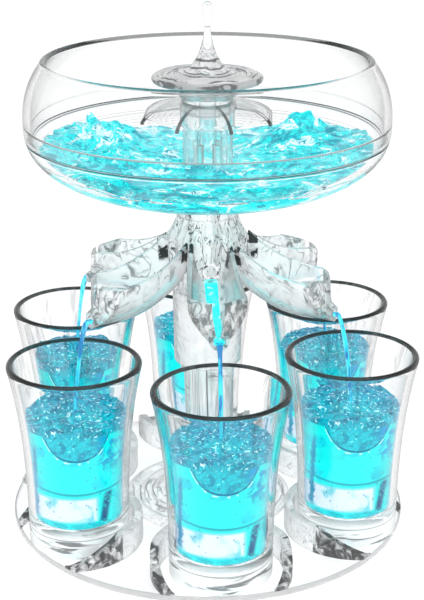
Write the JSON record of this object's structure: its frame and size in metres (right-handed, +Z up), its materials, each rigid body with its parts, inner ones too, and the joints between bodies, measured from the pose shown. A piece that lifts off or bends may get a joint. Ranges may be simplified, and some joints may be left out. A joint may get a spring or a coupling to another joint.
{
  "type": "party shot dispenser",
  "caption": "Clear tabletop drink dispenser: a bowl on a column drains through a lifted knob valve into open spouts that fill a ring of loose shot glasses.",
  "frame": {"origin": "centre of the tray's underside, on the surface that the dispenser stands on", "axes": "+Z up along the column and the bowl; -Y towards the front glass (number 1); +X to the right seen from the front"},
  "size_m": [0.148, 0.1606, 0.1912],
  "materials": {
    "acrylic": "clear moulded acrylic, polished",
    "silicone": "translucent silicone, smooth",
    "glass": "clear pressed glass, polished"
  },
  "bodies": {
    "stand": {"base_tray": "acrylic", "ripple_foot": "acrylic", "support_column": "acrylic", "spout_hub": "acrylic", "bowl_lower": "acrylic", "bowl_upper": "acrylic", "valve_tube": "acrylic", "splash_guard": "acrylic", "guide_collar": "acrylic", "cup_cradle_1": "acrylic", "cup_cradle_2": "acrylic", "cup_cradle_3": "acrylic", "cup_cradle_4": "acrylic", "cup_cradle_5": "acrylic", "cup_cradle_6": "acrylic", "spout_1": "acrylic", "spout_2": "acrylic", "spout_3": "acrylic", "spout_4": "acrylic", "spout_5": "acrylic", "spout_6": "acrylic", "hub_seal": "silicone"},
    "plunger": {"ripple_knob": "acrylic", "droplet_finial": "acrylic", "stopper_rod": "acrylic", "stopper_seal": "silicone"},
    "glass_1": {"shot_glass_1": "glass"},
    "glass_2": {"shot_glass_2": "glass"},
    "glass_3": {"shot_glass_3": "glass"},
    "glass_4": {"shot_glass_4": "glass"},
    "glass_5": {"shot_glass_5": "glass"},
    "glass_6": {"shot_glass_6": "glass"}
  },
  "joints": [
    {"name": "knob_lift", "type": "slide", "parent": "stand", "child": "plunger", "axis": [0, 0, 1], "range_m": [0, 0.01]},
    {"name": "glass_1_out", "type": "slide", "parent": "stand", "child": "glass_1", "axis": [0, -0.9781, 0.2079], "range_m": [0, 0.06]},
    {"name": "glass_2_out", "type": "slide", "parent": "stand", "child": "glass_2", "axis": [0.8471, -0.4891, 0.2079], "range_m": [0, 0.06]},
    {"name": "glass_3_out", "type": "slide", "parent": "stand", "child": "glass_3", "axis": [0.8471, 0.4891, 0.2079], "range_m": [0, 0.06]},
    {"name": "glass_4_out", "type": "slide", "parent": "stand", "child": "glass_4", "axis": [0, 0.9781, 0.2079], "range_m": [0, 0.06]},
    {"name": "glass_5_out", "type": "slide", "parent": "stand", "child": "glass_5", "axis": [-0.8471, 0.4891, 0.2079], "range_m": [0, 0.06]},
    {"name": "glass_6_out", "type": "slide", "parent": "stand", "child": "glass_6", "axis": [-0.8471, -0.4891, 0.2079], "range_m": [0, 0.06]}
  ]
}
